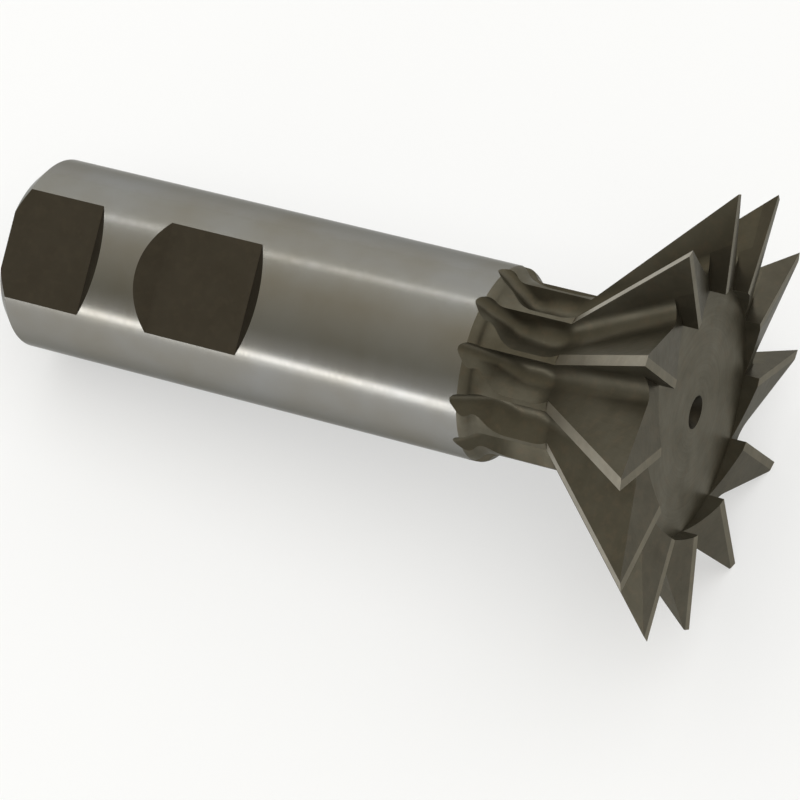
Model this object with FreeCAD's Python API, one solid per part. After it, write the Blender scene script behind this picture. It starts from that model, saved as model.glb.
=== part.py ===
import FreeCAD, Part
import math
import os

from FreeCAD import Base

os.makedirs("parts", exist_ok=True)

# Driving dimensions, in millimetres and degrees

# Whole cutter
overall_length = 96.3
tooth_count = 12
dovetail_angle = 45.0

# Shank
shank_diameter = 25.4
shank_chamfer = 1.6
shoulder_round = 1.5

# Clamping flats ground into the shank
flat_depth = 2.28
rear_flat_end = 12.5
front_flat_start = 22.65
front_flat_length = 13.2
flat_end_slope = 45.0
flat_turn_from_top = -21.7

# Neck and toothed head
neck_diameter = 22.6
neck_length = 11.45
head_diameter = 57.9
land_width = 1.25
land_relief = 8.0
grinding_stock = 0.15

# Flutes between the teeth
neck_land_width = 0.6
flute_back_slope = 28.0
flute_root_radius = 2.0
flute_bend_radius = 4.0
flute_exit_slope = 40.0
flute_run_out = 1.85

# Front face
face_recess_diameter = 32.0
face_recess_depth = 2.4
face_dish_angle = 1.0
end_land_width = 1.15
end_land_relief = 5.0
end_back_slope = 15.5

# Centre holes in both ends
centre_hole_diameter = 4.3
centre_pilot_diameter = 1.6
centre_hole_cone = 60.0
centre_pilot_length = 2.4
drill_point = 118.0

# Dependent sizes
shank_radius = shank_diameter / 2
neck_radius = neck_diameter / 2
tip_radius = head_diameter / 2
recess_radius = face_recess_diameter / 2
hole_radius = centre_hole_diameter / 2
pilot_radius = centre_pilot_diameter / 2
tooth_pitch = 360.0 / tooth_count
cone_length = (tip_radius - neck_radius) / math.tan(math.radians(dovetail_angle))
cone_start = overall_length - cone_length
shank_cylinder_end = cone_start - neck_length
recess_floor = overall_length - face_recess_depth
flat_height = shank_radius - flat_depth
clear = tip_radius / 4


def point(x, y, z):
    """A point in the cutter's own frame: X from the rear end to the teeth."""
    return Base.Vector(x, y, z)


def profile_point(x, radius):
    """A point of the turned profile, drawn beside the axis so that its seam clears the flats."""
    return point(x, -radius, 0)


def prism(corners, direction):
    """Extrude the closed outline through the corners."""
    wire = Part.makePolygon(corners + [corners[0]])
    return Part.Face(wire).extrude(direction)


def centre_hole_profile(end, inward):
    """Outline points of a centre hole that opens at x = end."""
    cone_depth = (hole_radius - pilot_radius) / math.tan(math.radians(centre_hole_cone / 2))
    pilot_end = cone_depth + centre_pilot_length
    bottom = pilot_end + pilot_radius / math.tan(math.radians(drill_point / 2))
    return [
        profile_point(end, hole_radius),
        profile_point(end + inward * cone_depth, pilot_radius),
        profile_point(end + inward * pilot_end, pilot_radius),
        profile_point(end + inward * bottom, 0),
    ]


def shoulder_arc():
    """Rounded shoulder from the shank down to the neck."""
    drop = shank_radius - neck_radius
    run = math.sqrt(shoulder_round ** 2 - (shoulder_round - drop) ** 2)
    half = math.atan2(run, shoulder_round - drop) / 2
    centre = shank_radius - shoulder_round
    start = profile_point(shank_cylinder_end, shank_radius)
    middle_x = shank_cylinder_end + shoulder_round * math.sin(half)
    middle = profile_point(middle_x, centre + shoulder_round * math.cos(half))
    end = profile_point(shank_cylinder_end + run, neck_radius)
    return start, middle, end


def turned_blank():
    """Shank, shoulder, neck, cone and recessed front face, turned about X."""
    front_hole = centre_hole_profile(recess_floor, -1)
    rear_hole = centre_hole_profile(0, 1)
    shoulder = shoulder_arc()
    chamfer_start = profile_point(0, shank_radius - shank_chamfer)
    chamfer_end = profile_point(shank_chamfer, shank_radius)
    # The head is turned oversize, and the tooth lands are ground down to the true cone
    front_side = [
        shoulder[2],
        profile_point(cone_start, neck_radius),
        profile_point(overall_length + grinding_stock, tip_radius + 2 * grinding_stock),
        profile_point(overall_length + grinding_stock, recess_radius),
        profile_point(recess_floor, recess_radius),
    ]
    # The chamfer's line is a spline, so that its crossing with the rear flat is one as well
    chamfer = Part.BSplineCurve()
    chamfer.buildFromPolesMultsKnots([chamfer_start, chamfer_end], [2, 2], [0, 1], False, 1)
    edges = Part.makePolygon(rear_hole[::-1] + [chamfer_start]).Edges
    edges.append(chamfer.toShape())
    edges.append(Part.makeLine(chamfer_end, shoulder[0]))
    edges.append(Part.Arc(*shoulder).toShape())
    edges += Part.makePolygon(front_side + front_hole + [rear_hole[3]]).Edges
    face = Part.Face(Part.Wire(edges))
    return face.revolve(point(0, 0, 0), point(1, 0, 0), 360)


def flute_root_height(radius, land):
    """Height of a flute's sharp root that leaves this land on the tooth before it."""
    angle = math.radians(tooth_pitch) - land / radius
    return radius * (math.cos(angle) - math.tan(math.radians(flute_back_slope)) * math.sin(angle))


def bend(before, corner, after):
    """Arc that rounds one corner of the flute's root."""
    back = (before - corner).normalize()
    ahead = (after - corner).normalize()
    half = back.getAngle(ahead) / 2
    reach = flute_bend_radius / math.tan(half)
    middle = (back + ahead).normalize() * flute_bend_radius * (1 / math.sin(half) - 1)
    return corner + back * reach, corner + middle, corner + ahead * reach


def flute_side_outline():
    """Side view of a flute's root: down from the shank, along the neck, then up the head."""
    top = tip_radius + clear
    neck_root = flute_root_height(neck_radius, neck_land_width)
    cone_root = flute_root_height(neck_radius, land_width)
    face_root = flute_root_height(tip_radius, land_width)
    head_slope = (face_root - cone_root) / cone_length
    exit_slope = math.tan(math.radians(flute_exit_slope))
    exit_x = shank_cylinder_end - flute_run_out
    rear = point(exit_x - (top - shank_radius) / exit_slope, 0, top)
    low_rear = point(exit_x + (shank_radius - neck_root) / exit_slope, 0, neck_root)
    low_front = point(overall_length - (face_root - neck_root) / head_slope, 0, neck_root)
    front = point(overall_length + clear, 0, face_root + clear * head_slope)
    front_top = point(front.x, 0, top)
    rear_bend = bend(rear, low_rear, low_front)
    front_bend = bend(low_rear, low_front, front)
    edges = [
        Part.makeLine(rear, rear_bend[0]),
        Part.Arc(*rear_bend).toShape(),
        Part.makeLine(rear_bend[2], front_bend[0]),
        Part.Arc(*front_bend).toShape(),
        Part.makeLine(front_bend[2], front),
        Part.makeLine(front, front_top),
        Part.makeLine(front_top, rear),
    ]
    return Part.Wire(edges)


def flute_cutter():
    """Volume removed by one flute, with its flat wall in the plane y = 0."""
    sweep = point(0, -tip_radius, tip_radius * math.tan(math.radians(flute_back_slope)))
    body = Part.Face(flute_side_outline()).extrude(sweep)
    root_edges = []
    for edge in body.Edges:
        on_wall = all(abs(v.Point.y) < 1e-6 for v in edge.Vertexes)
        below_top = edge.BoundBox.ZMin < tip_radius
        if on_wall and below_top and edge.BoundBox.XLength > clear / 10:
            root_edges.append(edge)
    return body.makeFillet(flute_root_radius, root_edges)


def land_cutter():
    """Stock above one tooth's ground land on the cone, behind the cutting edge."""
    tilt = math.tan(math.radians(land_relief)) / math.cos(math.radians(dovetail_angle))
    before = land_width
    behind = 2 * land_width
    corners = [
        point(cone_start, -before, neck_radius + before * tilt),
        point(cone_start, behind, neck_radius - behind * tilt),
        point(cone_start, behind, neck_radius + clear),
        point(cone_start, -before, neck_radius + clear),
    ]
    length = cone_length + clear
    return prism(corners, point(length, 0, length * math.tan(math.radians(dovetail_angle))))


def end_cutter():
    """Stock in front of one tooth's end land and of the sloping end face behind it."""
    pitch = math.tan(math.radians(tooth_pitch))
    dish = math.tan(math.radians(face_dish_angle))
    far = tip_radius + clear
    reach = far * pitch
    land_fall = math.tan(math.radians(end_land_relief))
    back_fall = math.tan(math.radians(end_back_slope))
    axis_x = overall_length - tip_radius * dish
    land_end_x = axis_x - end_land_width * land_fall
    corners = [
        point(axis_x + end_land_width * land_fall, -end_land_width, 0),
        point(land_end_x, end_land_width, 0),
        point(land_end_x - (reach - end_land_width) * back_fall, reach, 0),
        point(overall_length + clear, reach, 0),
        point(overall_length + clear, -end_land_width, 0),
    ]
    body = prism(corners, point(far * dish, 0, far))
    sector = [
        point(0, -end_land_width, 0),
        point(0, 0, 0),
        point(0, reach, far),
        point(0, -end_land_width, far),
    ]
    return body.common(prism(sector, point(overall_length + 2 * clear, 0, 0)))


def at_every_tooth(shape):
    """Copies of one tooth's cut, one for each tooth, with the top between two teeth."""
    copies = []
    for k in range(tooth_count):
        copy = shape.copy()
        copy.rotate(point(0, 0, 0), point(1, 0, 0), -(k + 0.5) * tooth_pitch)
        copies.append(copy)
    return copies


def flat_cutters():
    """Clamping flats: the rear one runs out through the rear end."""
    top = shank_radius + flat_depth
    lean = (top - flat_height) / math.tan(math.radians(flat_end_slope))
    half_width = shank_radius + flat_depth
    front_flat_end = front_flat_start + front_flat_length
    outlines = [
        [
            point(-shank_radius, -half_width, flat_height),
            point(rear_flat_end, -half_width, flat_height),
            point(rear_flat_end + lean, -half_width, top),
            point(-shank_radius, -half_width, top),
        ],
        [
            point(front_flat_start, -half_width, flat_height),
            point(front_flat_end, -half_width, flat_height),
            point(front_flat_end + lean, -half_width, top),
            point(front_flat_start - lean, -half_width, top),
        ],
    ]
    cutters = []
    for outline in outlines:
        cutter = prism(outline, point(0, 2 * half_width, 0))
        cutter.rotate(point(0, 0, 0), point(1, 0, 0), -flat_turn_from_top)
        cutters.append(cutter)
    return cutters


def lowest_corner(shape, side):
    """Lowest vertex of the head on one side of the middle plane."""
    head = [v.Point for v in shape.Vertexes if v.Point.x > cone_start and side * v.Point.y > 0]
    return min(head, key=lambda corner: corner.z)


def laid_down(shape):
    """Lay the cutter on two tooth tips and its rear edge, centred above the origin."""
    placed = shape.copy()
    left = lowest_corner(placed, -1)
    right = lowest_corner(placed, 1)
    roll = math.degrees(math.atan2(right.z - left.z, right.y - left.y))
    placed.rotate(point(0, 0, 0), point(1, 0, 0), -roll)
    left = lowest_corner(placed, -1)
    lean = math.degrees(math.atan2(-left.z - shank_radius, left.x - shank_chamfer))
    placed.rotate(point(0, 0, 0), point(0, 1, 0), -lean)
    box = placed.optimalBoundingBox(False, False)
    shift = point(-(box.XMin + box.XMax) / 2, -(box.YMin + box.YMax) / 2, -box.ZMin)
    placed.translate(shift)
    print("roll", round(roll, 4), "lean", round(lean, 4), "shift", shift)
    return placed


def dovetail_cutter():
    """The whole one-piece cutter in its resting place."""
    body = turned_blank()
    body = body.cut(flat_cutters())
    for cutter in (flute_cutter(), land_cutter(), end_cutter()):
        body = body.cut(at_every_tooth(cutter))
    return laid_down(body.Solids[0].removeSplitter())


shape = dovetail_cutter()
shape.exportStep("parts/dovetail_cutter.step")
print("volume", round(shape.Volume, 1), "solids", len(shape.Solids), "valid", shape.isValid())
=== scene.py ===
"""Dovetail cutter, one piece of tool steel, lying at rest on two of its teeth and its shank's rear edge.

The cutter is made as the real one is: a blank is turned, the clamping flats are milled, and then the
dividing head turns it tooth by tooth past a flute cutter and two grinding wheels. Sizes are in
millimetres in the cutter's own frame, whose X axis runs from the rear end of the shank to the teeth.
"""

import logging
import math
from dataclasses import dataclass, field
from enum import Enum

import bmesh
import bpy
from mathutils import Euler, Matrix, Vector


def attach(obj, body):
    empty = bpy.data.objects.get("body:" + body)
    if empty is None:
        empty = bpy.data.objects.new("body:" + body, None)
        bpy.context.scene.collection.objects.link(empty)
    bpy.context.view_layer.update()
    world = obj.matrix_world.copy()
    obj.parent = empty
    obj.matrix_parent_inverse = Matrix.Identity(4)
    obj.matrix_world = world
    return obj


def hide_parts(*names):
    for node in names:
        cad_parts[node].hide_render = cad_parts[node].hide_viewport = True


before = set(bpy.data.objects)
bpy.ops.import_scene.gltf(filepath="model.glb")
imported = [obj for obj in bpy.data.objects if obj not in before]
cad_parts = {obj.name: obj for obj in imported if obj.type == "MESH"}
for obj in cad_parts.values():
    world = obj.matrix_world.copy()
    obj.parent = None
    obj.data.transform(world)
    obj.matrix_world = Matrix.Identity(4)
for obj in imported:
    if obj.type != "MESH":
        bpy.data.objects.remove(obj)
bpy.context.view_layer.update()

LOG = logging.getLogger("dovetail_cutter")
MILLIMETRE = 0.001
MICROMETRE = 1e-6
SAME_POINT = 1e-5
FLUTE_CLIMB = math.radians(31)
FLUTE_RADIUS = 16.0


class Surface(Enum):
    """The kinds of surface that the cutter's cuts leave, each with its own finish."""

    SHANK = "shank"
    TURNED = "turned"
    HOLE = "hole"
    FLAT = "flat"
    FLUTE = "flute"
    LAND = "land"
    END_LAND = "end land"
    END_BACK = "end back"


class Lay(Enum):
    """The way in which the fine lines of a machined surface run."""

    AROUND = "round the axis"
    LENGTHWISE = "along the axis"
    FLUTEWISE = "along the flutes"


def linear(colour: str) -> tuple[float, float, float, float]:
    """Turn an sRGB hex colour into a linear one.

    Args:
        colour: The colour as six hex digits after a number sign.

    Returns:
        Red, green, blue and an alpha of 1.
    """
    channels = [int(colour[i : i + 2], 16) / 255 for i in (1, 3, 5)]
    red, green, blue = (c / 12.92 if c <= 0.04045 else ((c + 0.055) / 1.055) ** 2.4 for c in channels)
    return (red, green, blue, 1.0)


def add_node(
    tree: bpy.types.NodeTree, kind: str, inputs: dict | None = None, **settings: object
) -> bpy.types.Node:
    """Add a node to a tree, with its settings and its links.

    Args:
        tree: The tree that gets the node.
        kind: The node's type name.
        inputs: A value or an output socket for each named or numbered input.
        **settings: Values for the node's own properties.

    Returns:
        The new node.
    """
    node = tree.nodes.new(kind)
    for name, value in settings.items():
        setattr(node, name, value)
    for key, value in (inputs or {}).items():
        socket = node.inputs[key]
        if isinstance(value, bpy.types.NodeSocket):
            tree.links.new(value, socket)
        else:
            socket.default_value = value
    return node


def object_from_mesh(name: str, mesh: bpy.types.Mesh) -> bpy.types.Object:
    """Link a mesh to the scene as an object at the origin."""
    piece = bpy.data.objects.new(name, mesh)
    bpy.context.scene.collection.objects.link(piece)
    return piece


def closed_mesh(name: str, rows: list[list[Vector]], turned: bool = False) -> bpy.types.Mesh:
    """Skin a row of outlines into one closed solid.

    Args:
        name: The mesh's name.
        rows: Outlines with the same number of points each.
        turned: Whether the outlines stand round an axis that both their ends lie on.

    Returns:
        A mesh with its faces pointing outwards.
    """
    shell = bmesh.new()
    loops = [[shell.verts.new(place) for place in row] for row in rows]
    pairs = list(zip(loops, loops[1:]))
    sides = len(loops[0])
    if turned:
        pairs.append((loops[-1], loops[0]))
        sides -= 1
    else:
        shell.faces.new(loops[0])
        shell.faces.new(loops[-1][::-1])
    for before, after in pairs:
        for i in range(sides):
            j = (i + 1) % len(before)
            shell.faces.new((before[i], after[i], after[j], before[j]))
    bmesh.ops.remove_doubles(shell, verts=shell.verts, dist=SAME_POINT)
    bmesh.ops.recalc_face_normals(shell, faces=shell.faces)
    mesh = bpy.data.meshes.new(name)
    shell.to_mesh(mesh)
    shell.free()
    return mesh


Point = tuple[float, float]


def arc(centre: Point, start: Point, end: Point, steps: int) -> list[Point]:
    """Points of the shorter arc about a centre, both ends included.

    Args:
        centre: The arc's centre.
        start: Its first point.
        end: Its last point.
        steps: The number of straight pieces.

    Returns:
        The points as pairs.
    """
    first = Vector(start) - Vector(centre)
    last = Vector(end) - Vector(centre)
    turn = first.angle_signed(last)
    return [tuple(Vector(centre) + Matrix.Rotation(-turn * i / steps, 2) @ first) for i in range(steps + 1)]


@dataclass(frozen=True)
class RestingPlace:
    """Where the cutter lies: its rear end's centre and the lean that its teeth give it."""

    lean: float = math.radians(9.1561)
    rear_end: tuple[float, float, float] = (-48.8782, 0.0, 12.28358)

    def matrix(self) -> Matrix:
        """The step from the cutter's frame in millimetres to the part's frame in metres."""
        turned = Matrix.Rotation(-self.lean, 4, "Y")
        return Matrix.Scale(MILLIMETRE, 4) @ Matrix.Translation(self.rear_end) @ turned


@dataclass(frozen=True)
class CentreHole:
    """A centre hole, in which the cutter is held while it is ground."""

    radius: float = 2.15
    pilot_radius: float = 0.8
    cone: float = math.radians(60)
    pilot_length: float = 2.4
    drill_point: float = math.radians(118)

    def profile(self, end: float, inward: int) -> list[tuple[float, float]]:
        """Points from the hole's mouth to its bottom.

        Args:
            end: The x of the face that the hole opens in.
            inward: The sign of x towards the hole's bottom.

        Returns:
            Pairs of x and radius.
        """
        cone_depth = (self.radius - self.pilot_radius) / math.tan(self.cone / 2)
        pilot_end = cone_depth + self.pilot_length
        bottom = pilot_end + self.pilot_radius / math.tan(self.drill_point / 2)
        return [
            (end, self.radius),
            (end + inward * cone_depth, self.pilot_radius),
            (end + inward * pilot_end, self.pilot_radius),
            (end + inward * bottom, 0.0),
        ]


@dataclass(frozen=True)
class Blank:
    """The turned blank: shank, shoulder, neck, cone and recessed front face."""

    length: float = 96.3
    shank_radius: float = 12.7
    shank_chamfer: float = 1.6
    shoulder_round: float = 1.5
    shoulder_foot: float = 1.6
    shoulder_steps: int = 8
    neck_radius: float = 11.3
    neck_length: float = 11.45
    tip_radius: float = 28.95
    flare: float = math.radians(45)
    grinding_stock: float = 0.15
    recess_radius: float = 16.0
    recess_depth: float = 2.4
    centre_hole: CentreHole = field(default_factory=CentreHole)
    segments: int = 288

    @property
    def clear(self) -> float:
        """How far the cutting solids reach past the blank."""
        return self.tip_radius / 4

    @property
    def cone_length(self) -> float:
        """Length of the flaring head."""
        return (self.tip_radius - self.neck_radius) / math.tan(self.flare)

    @property
    def cone_start(self) -> float:
        """The x where the neck ends and the head begins."""
        return self.length - self.cone_length

    @property
    def shank_end(self) -> float:
        """The x where the shank's cylinder ends."""
        return self.cone_start - self.neck_length

    def profile(self) -> list[tuple[float, float]]:
        """Half the blank's outline from the rear hole's bottom to the front one's, as x and radius."""
        drop = self.shank_radius - self.neck_radius
        both = self.shoulder_round + self.shoulder_foot
        share = self.shoulder_round / both
        reach = math.sqrt(both**2 - (both - drop) ** 2)
        round_centre = (self.shank_end, self.shank_radius - self.shoulder_round)
        foot_centre = (self.shank_end + reach, self.neck_radius + self.shoulder_foot)
        middle = (self.shank_end + share * reach, self.shank_radius - share * drop)
        face = self.length + self.grinding_stock
        floor = self.length - self.recess_depth
        return [
            *self.centre_hole.profile(0.0, 1)[::-1],
            (0.0, self.shank_radius - self.shank_chamfer),
            (self.shank_chamfer, self.shank_radius),
            *arc(round_centre, (self.shank_end, self.shank_radius), middle, self.shoulder_steps),
            *arc(foot_centre, middle, (foot_centre[0], self.neck_radius), self.shoulder_steps)[1:],
            (self.cone_start, self.neck_radius),
            (face, self.tip_radius + 2 * self.grinding_stock),
            (face, self.recess_radius),
            (floor, self.recess_radius),
            *self.centre_hole.profile(floor, -1),
        ]

    def mesh(self) -> bpy.types.Mesh:
        """Turn the outline about the X axis."""
        outline = self.profile()
        rows = []
        for i in range(self.segments):
            turn = math.tau * i / self.segments
            rows.append([Vector((x, r * math.cos(turn), r * math.sin(turn))) for x, r in outline])
        return closed_mesh("blank", rows, turned=True)


@dataclass(frozen=True)
class ClampingFlats:
    """Two flats milled into the shank for a side-lock holder's screws. The rear one is open at the end."""

    depth: float = 2.28
    rear_end: float = 12.5
    front_start: float = 22.65
    front_length: float = 13.2
    end_slope: float = math.radians(45)
    turn: float = math.radians(21.7)

    def mesh(self, blank: Blank) -> bpy.types.Mesh:
        """The stock that both flats take from the blank."""
        floor = blank.shank_radius - self.depth
        top = blank.shank_radius + self.depth
        lean = (top - floor) / math.tan(self.end_slope)
        half = blank.shank_radius + self.depth
        front_end = self.front_start + self.front_length
        rear = [(-half, floor), (self.rear_end, floor), (self.rear_end + lean, top), (-half, top)]
        front = [
            (self.front_start, floor),
            (front_end, floor),
            (front_end + lean, top),
            (self.front_start - lean, top),
        ]
        both = bmesh.new()
        for outline in (rear, front):
            rows = [[Vector((x, y, z)) for x, z in outline] for y in (-half, half)]
            part = closed_mesh("flat", rows)
            both.from_mesh(part)
            bpy.data.meshes.remove(part)
        bmesh.ops.rotate(both, verts=both.verts, matrix=Matrix.Rotation(self.turn, 3, "X"))
        mesh = bpy.data.meshes.new("flats")
        both.to_mesh(mesh)
        both.free()
        return mesh


@dataclass(frozen=True)
class Teeth:
    """The dividing head's spacing and the widths of the ground lands."""

    count: int = 12
    land_width: float = 1.25
    land_relief: float = math.radians(8)

    @property
    def pitch(self) -> float:
        """Angle from one tooth to the next."""
        return math.tau / self.count

    def land_mesh(self, blank: Blank) -> bpy.types.Mesh:
        """The stock that the wheel grinds off one land on the cone."""
        tilt = math.tan(self.land_relief) / math.cos(blank.flare)
        clear = blank.clear
        before, behind = self.land_width, 2 * self.land_width
        corners = [
            (-before, blank.neck_radius + before * tilt),
            (behind, blank.neck_radius - behind * tilt),
            (behind, blank.neck_radius + clear),
            (-before, blank.neck_radius + clear),
        ]
        length = blank.cone_length + clear
        rise = length * math.tan(blank.flare)
        rear = [Vector((blank.cone_start, y, z)) for y, z in corners]
        front = [Vector((blank.cone_start + length, y, z + rise)) for y, z in corners]
        return closed_mesh("land", [rear, front])


@dataclass(frozen=True)
class EndFace:
    """The end teeth: a narrow ground land and the slope behind it, dished towards the axis."""

    dish: float = math.radians(1)
    land_width: float = 1.15
    land_relief: float = math.radians(5)
    back_slope: float = math.radians(15.5)

    @property
    def land_squareness(self) -> float:
        """The least share of a normal that lies along the axis on the land, and not on the slope."""
        return math.cos((self.land_relief + self.back_slope) / 2)

    def mesh(self, blank: Blank, teeth: Teeth) -> bpy.types.Mesh:
        """The stock in front of one tooth's end land and of the slope behind it."""
        clear = blank.clear
        far = blank.tip_radius + clear
        reach = far * math.tan(teeth.pitch)
        axis_x = blank.length - blank.tip_radius * math.tan(self.dish)
        land_fall = self.land_width * math.tan(self.land_relief)
        land_end = axis_x - land_fall
        corners = [
            (axis_x + land_fall, -self.land_width),
            (land_end, self.land_width),
            (land_end - (reach - self.land_width) * math.tan(self.back_slope), reach),
            (blank.length + clear, reach),
            (blank.length + clear, -self.land_width),
        ]
        near = [Vector((x, y, 0)) for x, y in corners]
        away = [Vector((x + far * math.tan(self.dish), y, far)) for x, y in corners]
        whole = closed_mesh("end", [near, away])
        sector = bmesh.new()
        sector.from_mesh(whole)
        side = Vector((0, math.cos(teeth.pitch), -math.sin(teeth.pitch)))
        geometry = [*sector.verts, *sector.edges, *sector.faces]
        cut = bmesh.ops.bisect_plane(
            sector, geom=geometry, plane_co=(0, 0, 0), plane_no=side, clear_outer=True
        )
        rim = [e for e in cut["geom_cut"] if isinstance(e, bmesh.types.BMEdge)]
        bmesh.ops.holes_fill(sector, edges=rim)
        bmesh.ops.recalc_face_normals(sector, faces=sector.faces)
        sector.to_mesh(whole)
        sector.free()
        return whole


@dataclass(frozen=True)
class Flute:
    """The chip space in front of one tooth, from its run-out in the shank to the front face."""

    neck_land_width: float = 0.6
    back_slope: float = math.radians(28)
    run_out_root_radius: float = 0.25
    shoulder_root_radius: float = 0.9
    neck_root_radius: float = 2.0
    face_root_radius: float = 2.2
    bend_radius: float = 4.0
    exit_slope: float = math.radians(40)
    run_out: float = 1.85
    bend_steps: int = 10
    root_steps: int = 8
    climb_steps: int = 6

    def root_height(self, radius: float, land: float, pitch: float) -> float:
        """Height of the sharp root that leaves this land on the tooth before it.

        Args:
            radius: The blank's radius there.
            land: The land's width.
            pitch: The angle between two teeth.

        Returns:
            The root's height above the axis.
        """
        angle = pitch - land / radius
        return radius * (math.cos(angle) - math.tan(self.back_slope) * math.sin(angle))

    def root_radius(self, x: float, blank: Blank) -> float:
        """Radius of the round root, which grows from the run-out to the front face.

        Args:
            x: The place along the axis.
            blank: The turned blank.

        Returns:
            The radius there.
        """
        places = (
            (blank.shank_end - self.run_out, self.run_out_root_radius),
            (blank.shank_end + self.run_out, self.shoulder_root_radius),
            (blank.cone_start - self.bend_radius, self.neck_root_radius),
            (blank.length, self.face_root_radius),
        )
        if x <= places[0][0]:
            return self.run_out_root_radius
        for (start, first), (end, last) in zip(places, places[1:]):
            if x <= end:
                return first + (x - start) / (end - start) * (last - first)
        return self.face_root_radius

    def bend(self, before: Vector, corner: Vector, after: Vector) -> list[Vector]:
        """Points of the arc that rounds one corner of the root's path.

        Args:
            before: The path's point before the corner.
            corner: The sharp corner.
            after: The path's point after the corner.

        Returns:
            The arc's points.
        """
        back = (before - corner).normalized()
        ahead = (after - corner).normalized()
        half = back.angle(ahead) / 2
        reach = self.bend_radius / math.tan(half)
        centre = corner + (back + ahead).normalized() * self.bend_radius / math.sin(half)
        start, end = corner + back * reach, corner + ahead * reach
        return [Vector(p) for p in arc(tuple(centre), tuple(start), tuple(end), self.bend_steps)]

    def path(self, blank: Blank, teeth: Teeth) -> list[Vector]:
        """Side view of the root: down from the shank, along the neck, then up the head."""
        clear = blank.clear
        top = blank.tip_radius + clear
        neck_root = self.root_height(blank.neck_radius, self.neck_land_width, teeth.pitch)
        cone_root = self.root_height(blank.neck_radius, teeth.land_width, teeth.pitch)
        face_root = self.root_height(blank.tip_radius, teeth.land_width, teeth.pitch)
        head_slope = (face_root - cone_root) / blank.cone_length
        exit_slope = math.tan(self.exit_slope)
        exit_x = blank.shank_end - self.run_out
        rear = Vector((exit_x - (top - blank.shank_radius) / exit_slope, top))
        low_rear = Vector((exit_x + (blank.shank_radius - neck_root) / exit_slope, neck_root))
        low_front = Vector((blank.length - (face_root - neck_root) / head_slope, neck_root))
        front = Vector((blank.length + clear, face_root + clear * head_slope))
        fall = self.bend(rear, low_rear, low_front)
        rise = self.bend(low_rear, low_front, front)
        level = [fall[-1].lerp(rise[0], i / self.climb_steps) for i in range(1, self.climb_steps)]
        climb = [rise[-1].lerp(front, i / self.climb_steps) for i in range(1, self.climb_steps + 1)]
        return [rear, *fall, *level, *rise, *climb]

    def mesh(self, blank: Blank, teeth: Teeth) -> bpy.types.Mesh:
        """The stock that one flute takes: a flat rake wall, a round root and the slope behind it."""
        path = self.path(blank, teeth)
        away = Vector((0, -math.cos(self.back_slope), math.sin(self.back_slope)))
        reach = blank.tip_radius / math.cos(self.back_slope)
        roof = blank.tip_radius / 2 + max(p.y for p in path)
        rows = []
        for i, place in enumerate(path):
            ahead = path[min(i + 1, len(path) - 1)] - place
            behind = place - path[max(i - 1, 0)]
            along = (ahead.normalized() + behind.normalized()).normalized()
            normal = away.cross(Vector((along.x, 0, along.y))).normalized()
            root = Vector((place.x, 0, place.y))
            radius = self.root_radius(place.x, blank)
            spread = radius * (1 + normal.y) / -away.y
            centre = root + away * spread + normal * radius
            to_wall = Vector((0, radius, 0))
            to_back = -normal * radius
            axis = to_wall.cross(to_back)
            angle = to_wall.angle(to_back)
            curve = [
                centre + Matrix.Rotation(angle * j / self.root_steps, 3, axis) @ to_wall
                for j in range(self.root_steps + 1)
            ]
            wall_top = Vector((centre.x, 0, roof))
            far_foot = root + away * reach
            far_top = Vector((root.x, far_foot.y, roof + reach * away.z))
            rows.append([wall_top, *curve, far_foot, far_top])
        return closed_mesh("flute", rows)


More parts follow.
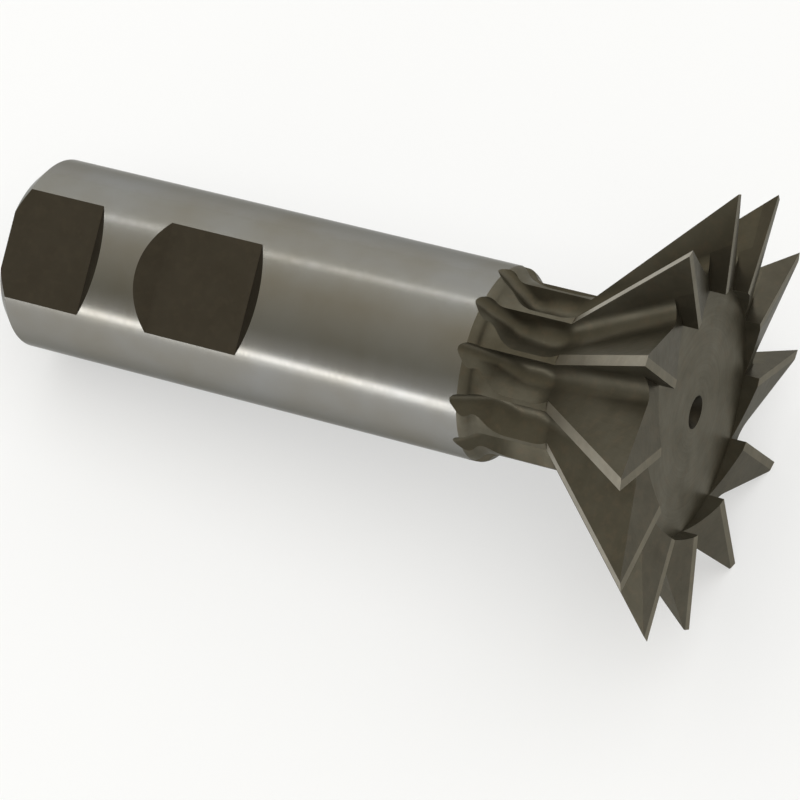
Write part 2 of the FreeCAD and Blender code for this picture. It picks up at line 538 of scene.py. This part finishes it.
class ShaderBench:
    """A material's node tree with the cutter's own frame laid into its Object coordinates."""

    def __init__(self, name: str, place: RestingPlace) -> None:
        """Start a material and split its coordinates along and round the cutter's axis.

        Args:
            name: The material's name.
            place: Where the cutter lies.
        """
        self.material = bpy.data.materials.new(name)
        self.material.use_nodes = True
        self.tree = self.material.node_tree
        self.tree.nodes.clear()
        rear_end = tuple(c * MILLIMETRE for c in place.rear_end)
        self.coordinates = add_node(
            self.tree,
            "ShaderNodeMapping",
            {
                "Vector": add_node(self.tree, "ShaderNodeTexCoord").outputs["Object"],
                "Location": rear_end,
                "Rotation": (0.0, -place.lean, 0.0),
            },
            vector_type="TEXTURE",
        ).outputs["Vector"]
        split = add_node(self.tree, "ShaderNodeSeparateXYZ", {"Vector": self.coordinates}).outputs
        self.x, self.y, self.z = split["X"], split["Y"], split["Z"]
        across = add_node(self.tree, "ShaderNodeCombineXYZ", {"Y": self.y, "Z": self.z})
        length = add_node(
            self.tree, "ShaderNodeVectorMath", {0: across.outputs["Vector"]}, operation="LENGTH"
        )
        self.radius = length.outputs["Value"]

    def math(self, operation: str, first: object, second: object = 0.0) -> bpy.types.NodeSocket:
        """One Math node.

        Args:
            operation: The node's operation.
            first: A value or a socket.
            second: A value or a socket.

        Returns:
            The node's result.
        """
        node = add_node(self.tree, "ShaderNodeMath", {0: first, 1: second}, operation=operation)
        return node.outputs["Value"]

    def lines(self, lay: Lay, fine: float, long: float) -> bpy.types.NodeSocket:
        """Streaky noise whose streaks run with the machining.

        Args:
            lay: The way the lines run.
            fine: Their spacing in millimetres.
            long: Their length in millimetres.

        Returns:
            The noise, from 0 to 1.
        """
        per_fine, per_long = 1 / (fine * MILLIMETRE), 1 / (long * MILLIMETRE)
        if lay is Lay.AROUND:
            parts = [(self.x, per_fine), (self.radius, per_fine), (self.y, per_long), (self.z, per_long)]
        elif lay is Lay.LENGTHWISE:
            parts = [(self.x, per_long), (self.y, per_fine), (self.z, per_fine), (self.x, 0.0)]
        else:
            # The lines climb the head with the flutes' roots
            ahead, up = math.cos(FLUTE_CLIMB), math.sin(FLUTE_CLIMB)
            along = self.math(
                "ADD", self.math("MULTIPLY", self.x, ahead), self.math("MULTIPLY", self.radius, up)
            )
            aside = self.math(
                "SUBTRACT", self.math("MULTIPLY", self.radius, ahead), self.math("MULTIPLY", self.x, up)
            )
            turn = self.math("MULTIPLY", self.math("ARCTAN2", self.y, self.z), FLUTE_RADIUS * MILLIMETRE)
            parts = [(along, per_long), (aside, per_fine), (turn, per_fine), (self.x, 0.0)]
        scaled = [self.math("MULTIPLY", socket, scale) for socket, scale in parts]
        vector = add_node(self.tree, "ShaderNodeCombineXYZ", {0: scaled[0], 1: scaled[1], 2: scaled[2]})
        noise = add_node(
            self.tree,
            "ShaderNodeTexNoise",
            {
                "Vector": vector.outputs["Vector"],
                "W": scaled[3],
                "Scale": 1.0,
                "Detail": 3.0,
                "Roughness": 0.6,
            },
            noise_dimensions="4D",
        )
        return noise.outputs["Fac"]

    def clouds(self, size: float, detail: float = 4.0) -> bpy.types.NodeSocket:
        """Soft cloudy noise.

        Args:
            size: The size of a cloud in millimetres.
            detail: How much finer noise lies on it.

        Returns:
            The noise, from 0 to 1.
        """
        noise = add_node(
            self.tree,
            "ShaderNodeTexNoise",
            {
                "Vector": self.coordinates,
                "Scale": 1 / (size * MILLIMETRE),
                "Detail": detail,
                "Roughness": 0.55,
            },
        )
        return noise.outputs["Fac"]

    def ranged(self, value: bpy.types.NodeSocket, low: float, high: float) -> bpy.types.NodeSocket:
        """Spread the middle of a noise over a range.

        Args:
            value: The noise.
            low: The result at the noise's darker parts.
            high: The result at its lighter parts.

        Returns:
            The ranged value.
        """
        node = add_node(
            self.tree,
            "ShaderNodeMapRange",
            {"Value": value, "From Min": 0.3, "From Max": 0.7, "To Min": low, "To Max": high},
        )
        return node.outputs["Result"]

    def blend(self, share: bpy.types.NodeSocket, first: object, second: object) -> bpy.types.NodeSocket:
        """Mix two colours.

        Args:
            share: The second colour's share.
            first: A hex colour or a socket.
            second: A hex colour or a socket.

        Returns:
            The mixed colour.
        """
        first, second = (linear(c) if isinstance(c, str) else c for c in (first, second))
        inputs = {"Factor": share, 6: first, 7: second}
        return add_node(self.tree, "ShaderNodeMix", inputs, data_type="RGBA").outputs[2]

    def metal(
        self,
        colour: bpy.types.NodeSocket,
        roughness: bpy.types.NodeSocket,
        height: bpy.types.NodeSocket,
        relief: float,
        glance: str,
        bareness: float = 1.0,
    ) -> bpy.types.Material:
        """Finish the material as a metal with a fine relief.

        Args:
            colour: The metal's colour.
            roughness: Its roughness.
            height: The relief's height, from 0 to 1.
            relief: The relief's full depth in micrometres.
            glance: The tint of the shine at a glancing angle.
            bareness: How much of the shine is bare metal's, the rest being a dull film's.

        Returns:
            The finished material.
        """
        bump = add_node(
            self.tree,
            "ShaderNodeBump",
            {"Strength": 1.0, "Distance": relief * MICROMETRE, "Height": height},
        )
        shader = add_node(
            self.tree,
            "ShaderNodeBsdfPrincipled",
            {
                "Base Color": colour,
                "Metallic": bareness,
                "Roughness": roughness,
                "Specular Tint": linear(glance),
                "Normal": bump.outputs["Normal"],
            },
        )
        add_node(self.tree, "ShaderNodeOutputMaterial", {"Surface": shader.outputs["BSDF"]})
        return self.material


@dataclass(frozen=True)
class GroundToolSteel:
    """Cylindrically ground tool steel: bright and grey, its glint drawn out by fine grinding rings.

    The rings are drawn coarser than real ones, so that a camera can tell them apart.
    """

    colour: str = "#8F8F8D"
    stain: str = "#87847C"
    glance: str = "#BDBDBA"
    roughness: float = 0.21
    roughness_spread: float = 0.03
    ring: float = 0.2
    ring_length: float = 14.0
    wave: float = 1.6
    wave_length: float = 40.0
    wave_spread: float = 0.02
    stain_size: float = 11.0
    relief: float = 0.35

    def material(self, place: RestingPlace) -> bpy.types.Material:
        """Build the shank's finish.

        Args:
            place: Where the cutter lies.

        Returns:
            The material.
        """
        bench = ShaderBench("ground_tool_steel", place)
        rings = bench.lines(Lay.AROUND, self.ring, self.ring_length)
        waves = bench.lines(Lay.AROUND, self.wave, self.wave_length)
        stains = bench.ranged(bench.clouds(self.stain_size), 0.0, 1.0)
        colour = bench.blend(stains, self.colour, self.stain)
        roughness = bench.math(
            "ADD",
            bench.ranged(
                rings, self.roughness - self.roughness_spread, self.roughness + self.roughness_spread
            ),
            bench.ranged(waves, -self.wave_spread, self.wave_spread),
        )
        return bench.metal(colour, roughness, rings, self.relief, self.glance)


@dataclass(frozen=True)
class DarkHighSpeedSteel:
    """High-speed steel under the thin dark oxide of its steam treatment.

    The film gives a brownish grey, clouded metal with a satin shine. The lines of the cut show through it.
    They are drawn coarser than real ones, so that a camera can tell them apart.
    """

    name: str
    lay: Lay
    colour: str = "#5A564A"
    cloud: str = "#514D41"
    bloom: str = "#5F5749"
    glance: str = "#C0C0BC"
    roughness: float = 0.38
    bareness: float = 0.78
    line: float = 0.25
    line_length: float = 9.0
    cloud_size: float = 3.5
    bloom_size: float = 1.3
    bloom_detail: float = 2.0
    bloom_share: float = 0.6
    worn_size: float = 5.0
    relief: float = 0.8

    def material(self, place: RestingPlace) -> bpy.types.Material:
        """Build the finish of one kind of surface.

        Args:
            place: Where the cutter lies.

        Returns:
            The material.
        """
        bench = ShaderBench(self.name, place)
        lines = bench.lines(self.lay, self.line, self.line_length)
        clouds = bench.ranged(bench.clouds(self.cloud_size), 0.0, 1.0)
        bloom = bench.ranged(
            bench.clouds(self.bloom_size, self.bloom_detail), -self.bloom_share, self.bloom_share
        )
        colour = bench.blend(clouds, self.colour, self.cloud)
        colour = bench.blend(bench.math("MAXIMUM", bloom, 0.0), colour, self.bloom)
        roughness = bench.math(
            "ADD",
            bench.ranged(lines, self.roughness - 0.04, self.roughness + 0.05),
            bench.ranged(bench.clouds(self.worn_size), -0.03, 0.05),
        )
        return bench.metal(colour, roughness, lines, self.relief, self.glance, self.bareness)


@dataclass
class DovetailCutter:
    """The whole cutter, made from its blank by one pass of cuts for each tooth."""

    blank: Blank = field(default_factory=Blank)
    flats: ClampingFlats = field(default_factory=ClampingFlats)
    teeth: Teeth = field(default_factory=Teeth)
    end_face: EndFace = field(default_factory=EndFace)
    flute: Flute = field(default_factory=Flute)
    place: RestingPlace = field(default_factory=RestingPlace)
    bright: GroundToolSteel = field(default_factory=GroundToolSteel)
    merge_distance: float = 0.003
    smooth_angle: float = math.radians(18)

    def finishes(self) -> dict[Surface, bpy.types.Material]:
        """One material for each kind of surface."""
        finishes = {
            Surface.SHANK: self.bright,
            Surface.TURNED: DarkHighSpeedSteel("oxide_dark_turned_steel", Lay.AROUND, colour="#625E52"),
            # The centre holes get the same oxide steel made much darker: the near-black is painted shade
            # for the deep hollow
            Surface.HOLE: DarkHighSpeedSteel(
                "painted_shade_oxide_hole_steel",
                Lay.AROUND,
                colour="#332F28",
                cloud="#28251F",
                bloom="#38332A",
                roughness=0.4,
            ),
            Surface.FLAT: DarkHighSpeedSteel(
                "oxide_dark_flat_steel",
                Lay.LENGTHWISE,
                colour="#48433A",
                cloud="#433E35",
                bloom="#4B453B",
                line=0.3,
            ),
            Surface.FLUTE: DarkHighSpeedSteel("oxide_dark_flute_steel", Lay.FLUTEWISE),
            Surface.LAND: DarkHighSpeedSteel(
                "reground_land_steel",
                Lay.FLUTEWISE,
                colour="#9F9A8D",
                cloud="#948E81",
                bloom="#A59D8E",
                glance="#E0E0DC",
                roughness=0.36,
                bareness=0.9,
                line=0.15,
            ),
            Surface.END_LAND: DarkHighSpeedSteel(
                "reground_end_land_steel",
                Lay.AROUND,
                colour="#767164",
                cloud="#6B665A",
                bloom="#797162",
                roughness=0.34,
                bareness=0.9,
                line=0.15,
            ),
            # The slopes behind the end lands are darker than the other oxide as painted shade, standing in
            # for the dark surroundings they reflect
            Surface.END_BACK: DarkHighSpeedSteel(
                "painted_shade_oxide_end_steel",
                Lay.AROUND,
                colour="#545045",
                cloud="#4A463C",
                bloom="#575044",
                roughness=0.34,
            ),
        }
        return {surface: finish.material(self.place) for surface, finish in finishes.items()}

    def dividing_head_tree(self, finishes: dict[Surface, bpy.types.Material]) -> bpy.types.NodeTree:
        """Build the node tree that cuts the flats once and every tooth in turn.

        Args:
            finishes: The material that each kind of cut leaves.

        Returns:
            The tree, whose inputs are the blank, the cutting solids, the number of teeth and the
            measures that place, finish and smooth the cuts.
        """
        tree = bpy.data.node_groups.new("dividing_head", "GeometryNodeTree")
        face = tree.interface
        face.new_socket("Geometry", in_out="INPUT", socket_type="NodeSocketGeometry")
        for name in ("Flats", "Flute", "Land", "End"):
            face.new_socket(name, in_out="INPUT", socket_type="NodeSocketObject")
        face.new_socket("Teeth", in_out="INPUT", socket_type="NodeSocketInt")
        turned_by = ("First turn", "Shank end", "Hole radius")
        finished_by = ("Land squareness", "Merge distance", "Smooth angle")
        for name in turned_by + finished_by:
            face.new_socket(name, in_out="INPUT", socket_type="NodeSocketFloat")
        face.new_socket("Geometry", in_out="OUTPUT", socket_type="NodeSocketGeometry")
        given = add_node(tree, "NodeGroupInput").outputs

        def cutting_solid(name: str, surface: Surface) -> bpy.types.NodeSocket:
            """Read one cutting solid and give its cuts their finish."""
            info = add_node(tree, "GeometryNodeObjectInfo", {"Object": given[name]})
            dressed = add_node(
                tree,
                "GeometryNodeSetMaterial",
                {"Geometry": info.outputs["Geometry"], "Material": finishes[surface]},
            )
            # The end slopes keep their darker finish, which is painted shade
            if surface is not Surface.END_BACK:
                return dressed.outputs["Geometry"]
            # The narrow land stands squarer to the axis than the slope behind it
            normal = add_node(tree, "GeometryNodeInputNormal").outputs["Normal"]
            lean = add_node(tree, "ShaderNodeSeparateXYZ", {"Vector": normal}).outputs["X"]
            squareness = add_node(tree, "ShaderNodeMath", {0: lean}, operation="ABSOLUTE")
            square = add_node(
                tree,
                "FunctionNodeCompare",
                {0: squareness.outputs["Value"], 1: given["Land squareness"]},
                operation="GREATER_THAN",
            )
            land = add_node(
                tree,
                "GeometryNodeSetMaterial",
                {
                    "Geometry": dressed.outputs["Geometry"],
                    "Selection": square.outputs[0],
                    "Material": finishes[Surface.END_LAND],
                },
            )
            return land.outputs["Geometry"]

        # The blank gets the shank's bright finish, and what lies past the shank then gets the dark one
        turned = add_node(
            tree,
            "GeometryNodeSetMaterial",
            {"Geometry": given["Geometry"], "Material": finishes[Surface.SHANK]},
        )
        position = add_node(tree, "GeometryNodeInputPosition").outputs["Position"]
        place = add_node(tree, "ShaderNodeSeparateXYZ", {"Vector": position})
        past_shank = add_node(
            tree,
            "FunctionNodeCompare",
            {0: place.outputs["X"], 1: given["Shank end"]},
            operation="GREATER_THAN",
        )
        turned = add_node(
            tree,
            "GeometryNodeSetMaterial",
            {
                "Geometry": turned.outputs["Geometry"],
                "Selection": past_shank.outputs[0],
                "Material": finishes[Surface.TURNED],
            },
        )
        flatted = add_node(
            tree,
            "GeometryNodeMeshBoolean",
            {"Mesh 1": turned.outputs["Geometry"], "Mesh 2": cutting_solid("Flats", Surface.FLAT)},
            operation="DIFFERENCE",
            solver="MANIFOLD",
        )

        start = tree.nodes.new("GeometryNodeRepeatInput")
        end = tree.nodes.new("GeometryNodeRepeatOutput")
        start.pair_with_output(end)
        end.repeat_items.new("FLOAT", "Turn")
        step = add_node(tree, "ShaderNodeMath", {0: -math.tau, 1: given["Teeth"]}, operation="DIVIDE")
        tree.links.new(given["Teeth"], start.inputs["Iterations"])
        tree.links.new(flatted.outputs["Mesh"], start.inputs["Geometry"])
        tree.links.new(given["First turn"], start.inputs["Turn"])
        turn = add_node(tree, "ShaderNodeCombineXYZ", {"X": start.outputs["Turn"]})
        passes = []
        for name, surface in (("Flute", Surface.FLUTE), ("Land", Surface.LAND), ("End", Surface.END_BACK)):
            moved = add_node(
                tree,
                "GeometryNodeTransform",
                {"Geometry": cutting_solid(name, surface), "Rotation": turn.outputs["Vector"]},
            )
            passes.append(moved.outputs["Geometry"])
        body = start.outputs["Geometry"]
        for cutting in passes:
            cut = add_node(
                tree,
                "GeometryNodeMeshBoolean",
                {"Mesh 1": body, "Mesh 2": cutting},
                operation="DIFFERENCE",
                solver="MANIFOLD",
            )
            body = cut.outputs["Mesh"]
        tree.links.new(body, end.inputs["Geometry"])
        next_turn = add_node(
            tree, "ShaderNodeMath", {0: start.outputs["Turn"], 1: step.outputs[0]}, operation="ADD"
        )
        tree.links.new(next_turn.outputs[0], end.inputs["Turn"])

        clean = add_node(
            tree,
            "GeometryNodeMergeByDistance",
            {"Geometry": end.outputs["Geometry"], "Distance": given["Merge distance"]},
        )
        smooth = add_node(
            tree,
            "GeometryNodeSetShadeSmooth",
            {"Geometry": clean.outputs["Geometry"], "Shade Smooth": True},
        )
        bend = add_node(tree, "GeometryNodeInputMeshEdgeAngle").outputs["Unsigned Angle"]
        crease = add_node(
            tree, "FunctionNodeCompare", {0: bend, 1: given["Smooth angle"]}, operation="GREATER_THAN"
        )
        sharp = add_node(
            tree,
            "GeometryNodeSetShadeSmooth",
            {"Geometry": smooth.outputs["Geometry"], "Selection": crease.outputs[0], "Shade Smooth": False},
            domain="EDGE",
        )
        real = add_node(tree, "GeometryNodeRealizeInstances", {"Geometry": sharp.outputs["Geometry"]})
        across = add_node(tree, "ShaderNodeCombineXYZ", {"Y": place.outputs["Y"], "Z": place.outputs["Z"]})
        off_axis = add_node(
            tree, "ShaderNodeVectorMath", {0: across.outputs["Vector"]}, operation="LENGTH"
        ).outputs["Value"]
        # Faces inside the centre holes' radius get the hole finish, whose darkness is painted shade
        inside = add_node(
            tree, "FunctionNodeCompare", {0: off_axis, 1: given["Hole radius"]}, operation="LESS_THAN"
        )
        dressed = add_node(
            tree,
            "GeometryNodeSetMaterial",
            {
                "Geometry": real.outputs["Geometry"],
                "Selection": inside.outputs[0],
                "Material": finishes[Surface.HOLE],
            },
        )
        add_node(tree, "NodeGroupOutput", {"Geometry": dressed.outputs["Geometry"]})
        return tree

    def build(self) -> bpy.types.Object:
        """Cut the teeth, lay the cutter in its resting place and ride it on its body."""
        finishes = self.finishes()
        tree = self.dividing_head_tree(finishes)
        solids = {
            "Flats": self.flats.mesh(self.blank),
            "Flute": self.flute.mesh(self.blank, self.teeth),
            "Land": self.teeth.land_mesh(self.blank),
            "End": self.end_face.mesh(self.blank, self.teeth),
        }
        cutting = {name: object_from_mesh(name.lower(), mesh) for name, mesh in solids.items()}
        stock = object_from_mesh("stock", self.blank.mesh())
        work = stock.modifiers.new("dividing head", "NODES")
        work.node_group = tree
        inputs = [item for item in tree.interface.items_tree if item.in_out == "INPUT"]
        sockets = {item.name: item.identifier for item in inputs}
        for name, solid in cutting.items():
            work[sockets[name]] = solid
        work[sockets["Teeth"]] = self.teeth.count
        work[sockets["First turn"]] = -self.teeth.pitch / 2
        work[sockets["Shank end"]] = self.blank.shank_end
        work[sockets["Hole radius"]] = self.blank.centre_hole.radius
        work[sockets["Land squareness"]] = self.end_face.land_squareness
        work[sockets["Merge distance"]] = self.merge_distance
        work[sockets["Smooth angle"]] = self.smooth_angle
        bpy.context.view_layer.update()
        evaluated = stock.evaluated_get(bpy.context.evaluated_depsgraph_get())
        mesh = bpy.data.meshes.new_from_object(evaluated)
        for spare in (stock, *cutting.values()):
            bpy.data.objects.remove(spare)
        mesh.name = "cutter"
        mesh.transform(self.place.matrix())
        cutter = object_from_mesh("cutter", mesh)
        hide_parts("dovetail_cutter")
        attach(cutter, "root")
        LOG.info("cutter: %d faces", len(mesh.polygons))
        return cutter


@dataclass(frozen=True)
class SoftLamp:
    """A soft box: where it stands, what it looks at, its two sides and its light."""

    name: str
    place: tuple[float, float, float]
    target: tuple[float, float, float]
    width: float
    height: float
    power: float
    shines: bool = True

    def build(self) -> bpy.types.Object:
        """Stand the lamp in the studio, facing its target."""
        data = bpy.data.lights.new(self.name, "AREA")
        data.shape = "RECTANGLE"
        data.size = self.width
        data.size_y = self.height
        data.energy = self.power
        lamp = bpy.data.objects.new(self.name, data)
        lamp.location = self.place
        look = Vector(self.target) - Vector(self.place)
        lamp.rotation_euler = look.to_track_quat("-Z", "Y").to_euler()
        lamp.visible_camera = False
        lamp.visible_glossy = self.shines
        bpy.context.scene.collection.objects.link(lamp)
        LOG.info("lamp: %s", self.name)
        return lamp


@dataclass(frozen=True)
class Studio:
    """A pale table under a soft tent, with the camera above and in front of the teeth."""

    floor_size: float = 6.0
    floor_colour: str = "#EBEDF0"
    backdrop_share: float = 0.46
    camera_place: tuple[float, float, float] = (0.1292796, -0.1736378, 0.4648593)
    camera_turn: tuple[float, float, float] = (24.039059, 6.698522, 21.859006)
    camera_lens: float = 173.8526
    camera_sensor: float = 36.0
    tent_pitch: float = math.radians(20)
    tent_stops: tuple[tuple[float, str], ...] = (
        (0.02, "#E8E8E6"),
        (0.12, "#C8C6C0"),
        (0.25, "#A5A296"),
        (0.67, "#D0C9B9"),
        (0.9, "#F6F5EE"),
        (1.0, "#FCFCFA"),
    )
    lamps: tuple[SoftLamp, ...] = (
        SoftLamp("over_lamp", (0.0, 0.0, 1.5), (0.0, 0.0, 0.0), 2.0, 2.0, 17.0, shines=False),
        SoftLamp("back_lamp", (-0.6, 0.9, 0.9), (0.0, 0.0, 0.02), 1.2, 0.06, 0.7),
        SoftLamp("front_lamp", (-0.16, -0.35, 0.03), (0.0, 0.0, 0.02), 0.5, 0.04, 0.3),
    )

    def floor(self) -> bpy.types.Object:
        """Lay the table, which shows white with the cutter's soft shadow on it."""
        half = self.floor_size / 2
        mesh = bpy.data.meshes.new("floor")
        corners = [(-half, -half, 0), (half, -half, 0), (half, half, 0), (-half, half, 0)]
        mesh.from_pydata(corners, [], [(0, 1, 2, 3)])
        table = object_from_mesh("floor", mesh)
        made = bpy.data.materials.new("pale_floor")
        made.use_nodes = True
        tree = made.node_tree
        tree.nodes.clear()
        paper = add_node(tree, "ShaderNodeBsdfDiffuse", {"Color": linear(self.floor_colour)})
        glow = add_node(tree, "ShaderNodeEmission", {"Color": (1, 1, 1, 1), "Strength": 1.0})
        path = add_node(tree, "ShaderNodeLightPath").outputs
        seen = path["Is Camera Ray"]
        for kind in ("Is Glossy Ray", "Is Transmission Ray"):
            either = add_node(tree, "ShaderNodeMath", {0: seen, 1: path[kind]}, operation="MAXIMUM")
            seen = either.outputs[0]
        share = add_node(tree, "ShaderNodeMath", {0: seen, 1: self.backdrop_share}, operation="MULTIPLY")
        mixed = add_node(
            tree,
            "ShaderNodeMixShader",
            {0: share.outputs[0], 1: paper.outputs["BSDF"], 2: glow.outputs["Emission"]},
        )
        add_node(tree, "ShaderNodeOutputMaterial", {"Surface": mixed.outputs["Shader"]})
        table.data.materials.append(made)
        return table

    def tent(self) -> bpy.types.World:
        """Hang the tent: pale behind the cutter, dimmer and warmer overhead and in front."""
        world = bpy.data.worlds.new("tent")
        world.use_nodes = True
        tree = world.node_tree
        tree.nodes.clear()
        way = add_node(tree, "ShaderNodeTexCoord").outputs["Generated"]
        back = (0.0, math.cos(self.tent_pitch), math.sin(self.tent_pitch))
        aim = add_node(tree, "ShaderNodeVectorMath", {0: way, 1: back}, operation="DOT_PRODUCT")
        span = add_node(
            tree, "ShaderNodeMapRange", {"Value": aim.outputs["Value"], "From Min": -1.0, "From Max": 1.0}
        )
        ramp = add_node(tree, "ShaderNodeValToRGB", {"Fac": span.outputs["Result"]})
        while len(ramp.color_ramp.elements) < len(self.tent_stops):
            ramp.color_ramp.elements.new(0.5)
        for element, (place, colour) in zip(ramp.color_ramp.elements, self.tent_stops):
            element.position = place
            element.color = linear(colour)
        sky = add_node(tree, "ShaderNodeBackground", {"Color": ramp.outputs["Color"], "Strength": 1.0})
        add_node(tree, "ShaderNodeOutputWorld", {"Surface": sky.outputs["Background"]})
        bpy.context.scene.world = world
        return world

    def camera(self) -> bpy.types.Object:
        """Stand the camera where the photograph was taken from."""
        data = bpy.data.cameras.new("camera")
        data.sensor_width = self.camera_sensor
        data.lens = self.camera_lens
        data.clip_start = 0.01
        data.clip_end = 50.0
        camera = bpy.data.objects.new("camera", data)
        camera.location = self.camera_place
        camera.rotation_euler = Euler([math.radians(a) for a in self.camera_turn], "XYZ")
        bpy.context.scene.collection.objects.link(camera)
        bpy.context.scene.camera = camera
        return camera

    def build(self) -> None:
        """Set up the floor, the tent, the lamps and the camera."""
        self.floor()
        self.tent()
        for lamp in self.lamps:
            lamp.build()
        self.camera()
        bpy.context.scene.view_settings.view_transform = "Standard"


def main() -> None:
    """Build the cutter and the studio round it."""
    logging.basicConfig(level=logging.INFO, format="%(name)s: %(message)s")
    DovetailCutter().build()
    Studio().build()


if __name__ == "__main__":
    main()
